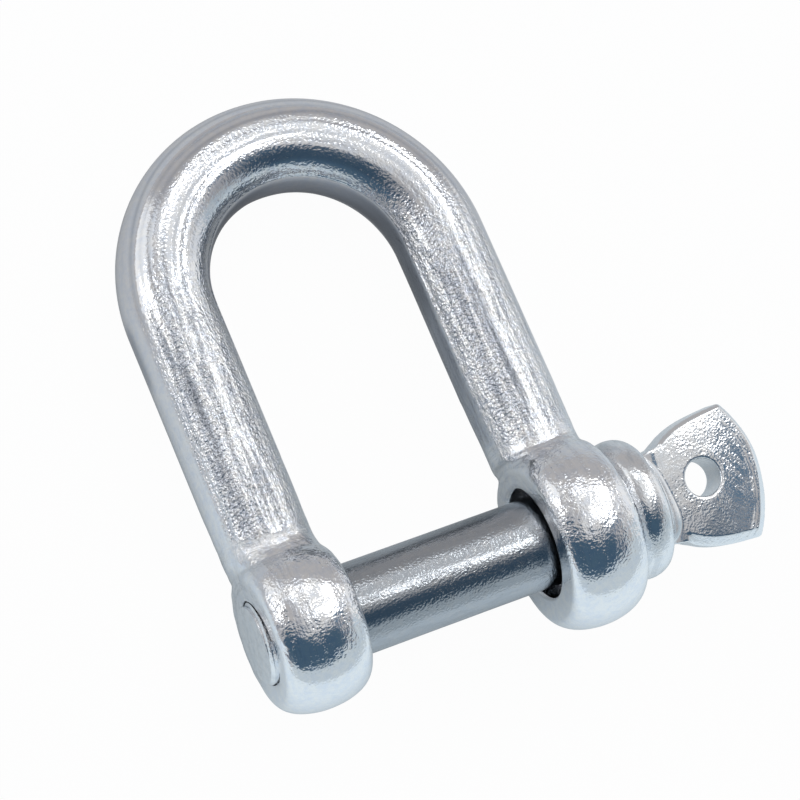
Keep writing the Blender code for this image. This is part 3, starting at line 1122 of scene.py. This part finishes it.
@dataclass(frozen=True)
class ZincPlate:
    """Bright zinc plating: silver metal with dull streaks along its flow, fine strokes and sparkling grain.

    Lengths are in metres. A depth is the height that its pattern spans.
    """

    name: str
    silver: tuple[float, float, float]
    blue: tuple[float, float, float]
    streak_length: float
    streak_width: float
    stroke_length: float
    stroke_width: float
    stroke_depth: float
    grain_size: float
    grain_depth: float
    streak_share: float
    roughness: float = 0.12
    dull_roughness: float = 0.15
    # What each unit of darkening keeps of the colour, for dull plating and for painted shade alike.
    dull_and_shade_share: float = 0.62
    streak_band: tuple[float, float] = (0.47, 0.58)
    streak_detail: float = 3.0
    stroke_detail: float = 2.0
    flow_roughness: float = 0.6
    flow_distortion: float = 0.4
    least_stroke: float = 0.25
    least_grain: float = 0.45
    grain_detail: float = 1.0
    grain_roughness: float = 0.5
    patch_scale: float = 1100.0
    patch_detail: float = 4.0
    patch_roughness: float = 0.7
    patch_band: tuple[float, float] = (0.4, 0.62)
    patch_blue: float = 0.6
    dull_and_shade_blue: float = 0.5

    def flow_noise(self, tree: bpy.types.NodeTree, flow: bpy.types.NodeSocket, length: float, width: float,
                   detail: float) -> bpy.types.NodeSocket:
        """Adds a noise that is drawn out along the flow.

        Args:
            tree: The material's nodes.
            flow: The flow's coordinates.
            length: How long its features are.
            width: How wide they are.
            detail: How many finer layers it has.

        Returns:
            The noise's value, about 0.5 on average.
        """
        place = add_node(tree, "Mapping", Vector=flow, Scale=(1 / length, 1 / width, 1 / width))
        pattern = add_node(tree, "TexNoise", Vector=place.outputs["Vector"], Scale=1.0, Detail=detail,
                           Roughness=self.flow_roughness, Distortion=self.flow_distortion)
        return pattern.outputs["Fac"]

    def darkening(self, tree: bpy.types.NodeTree, flow: bpy.types.NodeSocket,
                 shares: bpy.types.NodeOutputs) -> tuple[bpy.types.NodeSocket, bpy.types.NodeSocket]:
        """Adds the dull streaks along the flow, and the darkening that the piece brings: dull plating and
        painted shade.

        Args:
            tree: The material's nodes.
            flow: The flow's coordinates.
            shares: The plating's dull (with painted shade), streaked and grainy shares as X, Y and Z.

        Returns:
            The streaks alone, and how much the colour is darkened in all, by dull plating and painted shade.
        """
        pattern = self.flow_noise(tree, flow, self.streak_length, self.streak_width, self.streak_detail)
        streaks = add_node(tree, "MapRange", interpolation_type="SMOOTHSTEP", Value=pattern,
                           From_Min=self.streak_band[0], From_Max=self.streak_band[1],
                           To_Max=self.streak_share)
        found = streaks.outputs["Result"]
        dull_and_shade = add_node(tree, "Math", found, shares["Y"], shares["X"], operation="MULTIPLY_ADD")
        return found, dull_and_shade.outputs["Value"]

    def relief(self, tree: bpy.types.NodeTree, flow: bpy.types.NodeSocket, streaks: bpy.types.NodeSocket,
               shares: bpy.types.NodeOutputs) -> bpy.types.NodeSocket:
        """Adds the fine strokes along the flow and the grain over them.

        Args:
            tree: The material's nodes.
            flow: The flow's coordinates.
            streaks: The dull streaks, where the grain is strongest.
            shares: The plating's dull (with painted shade), streaked and grainy shares as X, Y and Z.

        Returns:
            The normal.
        """
        place = add_node(tree, "TexCoord").outputs["Object"]
        strokes = self.flow_noise(tree, flow, self.stroke_length, self.stroke_width, self.stroke_detail)
        grain = add_node(tree, "TexNoise", Vector=place, Scale=1 / self.grain_size, Detail=self.grain_detail,
                         Roughness=self.grain_roughness)
        stroke_share = add_node(tree, "MapRange", Value=shares["Y"], To_Min=self.least_stroke, To_Max=1.0)
        grain_share = add_node(tree, "MapRange", Value=streaks, From_Max=self.streak_share,
                               To_Min=self.least_grain, To_Max=1.0)
        layers = ((strokes, stroke_share, self.stroke_depth),
                  (grain.outputs["Fac"], grain_share, self.grain_depth))
        bumps = []
        for height, share, depth in layers:
            local = add_node(tree, "Math", share.outputs["Result"], shares["Z"], operation="MULTIPLY")
            bumps.append(add_node(tree, "Bump", Distance=depth, Strength=local.outputs["Value"],
                                  Height=height))
        fill(tree, bumps[1].inputs["Normal"], bumps[0].outputs["Normal"])
        return bumps[1].outputs["Normal"]

    def colour(self, tree: bpy.types.NodeTree, dull_and_shade: bpy.types.NodeSocket) -> bpy.types.NodeSocket:
        """Adds the silver colour with its bluish patches, darker where the plating is dull and where shade is
        painted.

        Args:
            tree: The material's nodes.
            dull_and_shade: How dull the plating is, together with the painted shade laid into it.

        Returns:
            The colour.
        """
        place = add_node(tree, "TexCoord").outputs["Object"]
        patches = add_node(tree, "TexNoise", Vector=place, Scale=self.patch_scale, Detail=self.patch_detail,
                           Roughness=self.patch_roughness)
        hue = add_node(tree, "MapRange", Value=patches.outputs["Fac"], From_Min=self.patch_band[0],
                       From_Max=self.patch_band[1], To_Max=self.patch_blue)
        cold = add_node(tree, "Math", dull_and_shade, self.dull_and_shade_blue, hue.outputs["Result"], operation="MULTIPLY_ADD",
                        use_clamp=True)
        tint = add_node(tree, "Mix", data_type="RGBA", Factor=cold.outputs["Value"], A=opaque(self.silver),
                        B=opaque(self.blue))
        # Darkens the colour for dull plating and for painted shade.
        shade = add_node(tree, "Math", self.dull_and_shade_share, dull_and_shade, operation="POWER")
        dulled_and_shaded = add_node(tree, "VectorMath", tint.outputs["Result"], operation="SCALE",
                          Scale=shade.outputs["Value"])
        return dulled_and_shaded.outputs["Vector"]

    def material(self) -> bpy.types.Material:
        """Builds the material.

        Returns:
            A metal whose colour, roughness and normal vary, with constants on the shader's own sockets.
        """
        made = bpy.data.materials.new(self.name)
        made.use_nodes = True
        tree = made.node_tree
        shader = tree.nodes["Principled BSDF"]
        flow = add_node(tree, "Attribute", attribute_name=GRAIN).outputs["Vector"]
        marks = add_node(tree, "Attribute", attribute_name=PLATING_AND_SHADE).outputs["Vector"]
        shares = add_node(tree, "SeparateXYZ", marks).outputs
        streaks, dull_and_shade = self.darkening(tree, flow, shares)
        rough = add_node(tree, "MapRange", Value=dull_and_shade, To_Min=self.roughness, To_Max=self.dull_roughness)
        fill(tree, shader.inputs["Metallic"], 1.0)
        fill(tree, shader.inputs["Normal"], self.relief(tree, flow, streaks, shares))
        fill(tree, shader.inputs["Base Color"], self.colour(tree, dull_and_shade))
        fill(tree, shader.inputs["Roughness"], rough.outputs["Result"])
        return made


@dataclass(frozen=True)
class Panel:
    """A curved studio panel round the object: a softbox, a pale card, or a dark flag that the metal mirrors.

    Its edges are degrees of azimuth, where 0 is -Y and 90 is +X, and of elevation. Its softness is in degrees
    too, at the left, right, low and high edges. Its low edge rises by the low slant with each degree of
    azimuth.
    """

    name: str
    azimuths: tuple[float, float]
    elevations: tuple[float, float]
    softness: tuple[float, float, float, float]
    colour: tuple[float, float, float]
    strength: float
    distance: float
    low_slant: float = 0.0
    columns: int = 36
    rows: int = 12

    def direction(self, across: float, up: float) -> Vector:
        """Where a place of the panel stands as seen from the object.

        Args:
            across: Share of its width, from the low azimuth.
            up: Share of its height.

        Returns:
            A unit vector.
        """
        first, last = self.azimuths
        low, high = self.elevations
        azimuth = first + (last - first) * across
        low += self.low_slant * (azimuth - (first + last) / 2)
        around = math.radians(azimuth)
        rise = math.radians(min(90.0, low + (high - low) * up))
        return Vector((math.sin(around) * math.cos(rise), -math.cos(around) * math.cos(rise), math.sin(rise)))

    def build(self) -> bpy.types.Object:
        """Makes the panel and its light.

        Returns:
            The panel, unseen by the camera.
        """
        bm = bmesh.new()
        bm.loops.layers.uv.new("UVMap")
        bmesh.ops.create_grid(bm, x_segments=self.columns, y_segments=self.rows, size=0.5, calc_uvs=True)
        for vert in bm.verts:
            vert.co = self.direction(vert.co.x + 0.5, vert.co.y + 0.5) * self.distance
        panel = new_object(self.name, bm)
        panel.data.materials.append(self.material())
        panel.visible_camera = False
        panel.visible_shadow = False
        return panel

    def material(self) -> bpy.types.Material:
        """An even glow that falls off towards the panel's edges into transparency."""
        made = bpy.data.materials.new(self.name)
        made.use_nodes = True
        tree = made.node_tree
        tree.nodes.clear()
        parts = add_node(tree, "SeparateXYZ", add_node(tree, "UVMap").outputs["UV"]).outputs
        width = self.azimuths[1] - self.azimuths[0]
        height = self.elevations[1] - self.elevations[0]
        left, right, low, high = self.softness
        edges = (("X", 0.0, left / width), ("X", 1.0, 1 - right / width),
                 ("Y", 0.0, low / height), ("Y", 1.0, 1 - high / height))
        share = 1.0
        for axis, rim, full in edges:
            ramp = add_node(tree, "MapRange", interpolation_type="SMOOTHSTEP", Value=parts[axis],
                            From_Min=min(rim, full), From_Max=max(rim, full), To_Min=float(rim > full),
                            To_Max=float(rim < full))
            both = add_node(tree, "Math", share, ramp.outputs["Result"], operation="MULTIPLY")
            share = both.outputs["Value"]
        glow = add_node(tree, "Emission", Color=opaque(self.colour), Strength=self.strength)
        clear = add_node(tree, "BsdfTransparent")
        mix = add_node(tree, "MixShader", share, clear.outputs["BSDF"], glow.outputs["Emission"])
        add_node(tree, "OutputMaterial", Surface=mix.outputs["Shader"])
        return made


@dataclass(frozen=True)
class Studio:
    """A pale floor under soft light, and the camera at the photograph's angle."""

    panels: tuple[Panel, ...]
    floor_size: float = 3.0
    floor_colour: tuple[float, float, float] = (0.86, 0.88, 0.90)
    front_glow: tuple[float, float, float] = (0.80, 0.91, 0.98)
    rear_glow: tuple[float, float, float] = (0.47, 0.485, 0.51)
    glow_turn: tuple[float, float] = (-0.034, 0.026)
    shade_reach: float = 0.024
    shade_samples: int = 4
    floor_roughness: float = 0.9
    floor_share: float = 0.97
    floor_glossy_share: float = 0.8
    surround: tuple[float, float, float] = (0.45, 0.44, 0.445)
    camera_distance: float = 0.30247
    camera_lens: float = 129.48
    sensor: float = 36.0
    turn: float = math.radians(19.238)
    tilt: float = math.radians(-13.514)
    roll: float = math.radians(23.426)
    target: Vector = Vector((0.002710, 0.019873, 0.0))
    shift: tuple[float, float] = (0.01718, -0.00071)
    clip: tuple[float, float] = (0.01, 10.0)

    def floor(self) -> bpy.types.Object:
        """The floor, with its top at the height that the object rests on."""
        bm = bmesh.new()
        bmesh.ops.create_grid(bm, x_segments=1, y_segments=1, size=self.floor_size / 2)
        floor = new_object("studio_floor", bm)
        made = bpy.data.materials.new("studio_floor")
        made.use_nodes = True
        tree = made.node_tree
        shader = tree.nodes["Principled BSDF"]
        fill(tree, shader.inputs["Base Color"], opaque(self.floor_colour))
        fill(tree, shader.inputs["Roughness"], self.floor_roughness)
        fill(tree, shader.inputs["Specular IOR Level"], 0.0)
        rays = add_node(tree, "LightPath").outputs
        place = add_node(tree, "TexCoord").outputs["Object"]
        parts = add_node(tree, "SeparateXYZ", place).outputs
        depth = add_node(tree, "MapRange", Value=parts["Y"], From_Min=self.glow_turn[0],
                         From_Max=self.glow_turn[1])
        reflected = add_node(tree, "Mix", data_type="RGBA", Factor=depth.outputs["Result"],
                             A=opaque(self.front_glow), B=opaque(self.rear_glow))
        shaded = add_node(tree, "AmbientOcclusion", samples=self.shade_samples, Distance=self.shade_reach,
                          Color=reflected.outputs["Result"])
        tint = add_node(tree, "Mix", data_type="RGBA", Factor=rays["Is Camera Ray"],
                        A=shaded.outputs["Color"], B=opaque(WHITE))
        glow = add_node(tree, "Emission", Color=tint.outputs["Result"])
        seen = add_node(tree, "Math", rays["Is Camera Ray"], self.floor_share, operation="MULTIPLY")
        share = add_node(tree, "Math", rays["Is Glossy Ray"], self.floor_glossy_share, seen.outputs["Value"],
                         operation="MULTIPLY_ADD")
        mix = add_node(tree, "MixShader", share.outputs["Value"], shader.outputs["BSDF"],
                       glow.outputs["Emission"])
        fill(tree, tree.nodes["Material Output"].inputs["Surface"], mix.outputs["Shader"])
        floor.data.materials.append(made)
        return floor

    def world(self) -> None:
        """An even pale surround, white behind the floor for the camera."""
        world = bpy.data.worlds.new("studio")
        bpy.context.scene.world = world
        world.use_nodes = True
        tree = world.node_tree
        rays = add_node(tree, "LightPath").outputs
        tint = add_node(tree, "Mix", data_type="RGBA", Factor=rays["Is Camera Ray"], A=opaque(self.surround),
                        B=opaque(WHITE))
        fill(tree, tree.nodes["Background"].inputs["Color"], tint.outputs["Result"])

    def camera(self, place: Matrix) -> bpy.types.Object:
        """Sets the camera as the photograph was taken.

        Args:
            place: The pin's frame in the row frame.

        Returns:
            The scene's camera.
        """
        back = Vector((-math.sin(self.turn) * math.cos(self.tilt), math.sin(self.tilt),
                       math.cos(self.turn) * math.cos(self.tilt)))
        level = Vector((0, 1, 0)).cross(back).normalized()
        upright = back.cross(level)
        right = math.cos(self.roll) * level - math.sin(self.roll) * upright
        up = math.sin(self.roll) * level + math.cos(self.roll) * upright
        turn = Matrix((right, up, back)).transposed().to_4x4()
        turn.translation = self.target + back * self.camera_distance
        data = bpy.data.cameras.new("photo_camera")
        data.lens = self.camera_lens
        data.sensor_width = self.sensor
        data.shift_x, data.shift_y = self.shift
        data.clip_start, data.clip_end = self.clip
        camera = bpy.data.objects.new("photo_camera", data)
        bpy.context.scene.collection.objects.link(camera)
        camera.matrix_world = place @ turn
        bpy.context.scene.camera = camera
        return camera

    def build(self, place: Matrix) -> None:
        """Sets up floor, world, panels, camera and plain colour management.

        Args:
            place: The pin's frame in the row frame.
        """
        self.floor()
        self.world()
        for panel in self.panels:
            panel.build()
        self.camera(place)
        bpy.context.scene.view_settings.view_transform = "Standard"


TAPPED_EAR = Ear(side=-1, diameter=0.0177, face_diameter=0.0133, width=0.0096, lift=0.0002,
                 neck_radius=0.0024, bore_diameter=0.0090, lip_radius=0.0002)
PLAIN_EAR = Ear(side=1, diameter=0.0205, face_diameter=0.0162, width=0.0090, lift=-0.0003,
                neck_radius=0.0008, bore_diameter=0.0119, lip_radius=0.0005)
TIP_REST = 0.0005
COLLAR_GAP = 0.0003
TIP_X = TAPPED_EAR.outer_x - TIP_REST
COLLAR_X = PLAIN_EAR.outer_x + COLLAR_GAP
PITCH = 0.0015
THREAD_RUN_OUT = 0.0006
MALE_THREAD = Thread(PITCH, surface_radius=0.00487, root_radius=0.00410, half_mouth=PITCH * 7 / 16,
                     start_x=TIP_X - PITCH, end_x=TAPPED_EAR.inner_x - THREAD_RUN_OUT)
FEMALE_THREAD = Thread(PITCH, surface_radius=0.00450, root_radius=0.00500, half_mouth=0.00036,
                       start_x=MALE_THREAD.start_x + PITCH / 2, end_x=TAPPED_EAR.inner_x + PITCH,
                       fade_turns=0.01)
# Each mark's angle, depth, half width, wander, dullness (painted shade on some marks), start, end and
# squareness.
MARKS = (
    DrawMark(math.radians(3), 0.000010, 0.00090, 0.0001, 1.7, 0.0300, 0.0345, fade=0.002),
    DrawMark(math.radians(22), 0.000024, 0.00040, 0.0005),
    DrawMark(math.radians(62), 0.000010, 0.00045, 0.0005, 1.0, 0.0130, 0.0250),
    DrawMark(math.radians(100), 0.000010, 0.00045, 0.0005, 1.0, 0.0900, 0.1020),
    DrawMark(math.radians(39), 0.000056, 0.00028, 0.0005, 0.5),
    DrawMark(math.radians(54), 0.000050, 0.00026, 0.0004, 0.6),
    DrawMark(math.radians(67), 0.000058, 0.00026, 0.0004, 0.7),
    DrawMark(math.radians(80), 0.000054, 0.00026, 0.0004, 0.7),
    DrawMark(math.radians(93), 0.000050, 0.00026, 0.0004, 0.7),
    DrawMark(math.radians(106), 0.000050, 0.00028, 0.0004, 0.6),
    # Crown band: a real shallow groove, and its darkening is painted shade, a painted dark reflection over
    # the crown.
    DrawMark(math.radians(122), 0.000034, 0.00075, 0.0003, 0.9, 0.045, 0.100, 4.0),
    DrawMark(math.radians(155), -0.000110, 0.00020, 0.0002),
    # Strips inside the bow, along the crown and the plain leg: painted shade, darkening the colour where the
    # metal mirrors the shaded floor.
    DrawMark(math.radians(180), 0.000010, 0.00185, 0.0001, 2.6, 0.040, 0.086, 8.0),
    DrawMark(math.radians(180), 0.000010, 0.00200, 0.0001, 1.4, 0.092, 0.125, 8.0),
    DrawMark(math.radians(205), -0.000110, 0.00020, 0.0002),
    DrawMark(math.radians(232), 0.000046, 0.00030, 0.0004, 0.5),
    DrawMark(math.radians(250), 0.000048, 0.00028, 0.0005, 0.5),
    DrawMark(math.radians(268), 0.000046, 0.00030, 0.0004, 0.5),
    DrawMark(math.radians(290), 0.000048, 0.00028, 0.0005, 0.5),
    DrawMark(math.radians(318), 0.000046, 0.00032, 0.0005, 0.4),
)

WHITE = (1.0, 1.0, 1.0)
COOL_WHITE = (0.98, 0.99, 1.0)
NAVY = (0.36, 0.66, 1.0)
# Each panel's azimuths, elevations, softness, colour, strength and distance.
PANELS = (
    Panel("zenith_softbox", (-180, 180), (66, 90), (0.01, 0.01, 14, 0.01), COOL_WHITE, 0.72, 0.75),
    Panel("overhead_softbox", (78, 212), (37, 89), (14, 16, 7, 8), COOL_WHITE, 0.80, 0.72),
    Panel("leg_key", (84, 112), (58, 77), (7, 8, 6, 4), WHITE, 5.6, 0.70),
    Panel("key_softbox", (110, 144), (43, 56), (4, 4, 3, 3), WHITE, 4.2, 0.70),
    Panel("top_key", (96, 150), (73, 82), (8, 8, 3, 3), WHITE, 3.0, 0.69),
    Panel("rear_key", (164, 192), (45, 57), (5, 5, 4, 4), WHITE, 3.0, 0.71),
    Panel("spade_card", (52, 86), (64, 77), (8, 8, 3, 3), WHITE, 0.66, 0.705),
    Panel("spade_flag", (54, 84), (50, 64), (6, 6, 4, 2), NAVY, 0.24, 0.62),
    Panel("left_softbox", (-160, -94), (4, 46), (8, 12, 5, 8), COOL_WHITE, 0.96, 0.70),
    Panel("left_key", (-132, -106), (24, 40), (5, 5, 4, 4), WHITE, 3.6, 0.69),
    Panel("right_card", (66, 122), (0, 38), (12, 12, 1, 8), COOL_WHITE, 0.90, 0.68),
    Panel("front_card", (-62, 84), (0, 34), (10, 14, 1, 6), (0.82, 0.93, 1.0), 0.66, 0.66),
    Panel("dark_flag", (-92, 64), (21, 69), (16, 26, 4, 8), NAVY, 0.155, 0.60, low_slant=0.22),
)

FORGED_ZINC = ZincPlate(
    "plated_forging", silver=(0.91, 0.91, 0.91), blue=(0.76, 0.81, 0.90), streak_length=0.0080,
    streak_width=0.00070, stroke_length=0.0007, stroke_width=0.00024, stroke_depth=0.00013,
    grain_size=0.00031, grain_depth=0.00028, streak_share=0.38)
TURNED_ZINC = ZincPlate(
    "plated_pin", silver=(0.88, 0.885, 0.89), blue=(0.77, 0.82, 0.88), streak_length=0.0040,
    streak_width=0.0010, stroke_length=0.0005, stroke_width=0.00022, stroke_depth=0.00013,
    grain_size=0.00025, grain_depth=0.00018, streak_share=0.4, dull_roughness=0.16)


def dress(piece: bpy.types.Object, finish: ZincPlate, body: str) -> None:
    """Finishes a piece, sets what it rides on and hides the node that it stands in for.

    Args:
        piece: The piece in place.
        finish: Its plating.
        body: The body, and the node, that it belongs to.
    """
    piece.data.materials.append(finish.material())
    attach(piece, body)
    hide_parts(body)
    log.info("%s: %d faces, rides on %s", piece.name, len(piece.data.polygons), body)


def main() -> None:
    """Builds both pieces round the frame, then the studio."""
    logging.basicConfig(level=logging.INFO, format="%(name)s %(message)s")
    spade = Spade(COLLAR_X + COLLAR_WIDTH)
    place = PinFrame.read(frame, TIP_X, spade.turn).matrix
    bow = Bow(TAPPED_EAR, PLAIN_EAR, FEMALE_THREAD, MARKS).build(place)
    dress(bow, FORGED_ZINC, "bow")
    pin = ScrewPin(MALE_THREAD, spade, TIP_X, COLLAR_X).build(place)
    dress(pin, TURNED_ZINC, "screw_pin")
    Studio(PANELS).build(place)


if __name__ == "__main__":
    main()
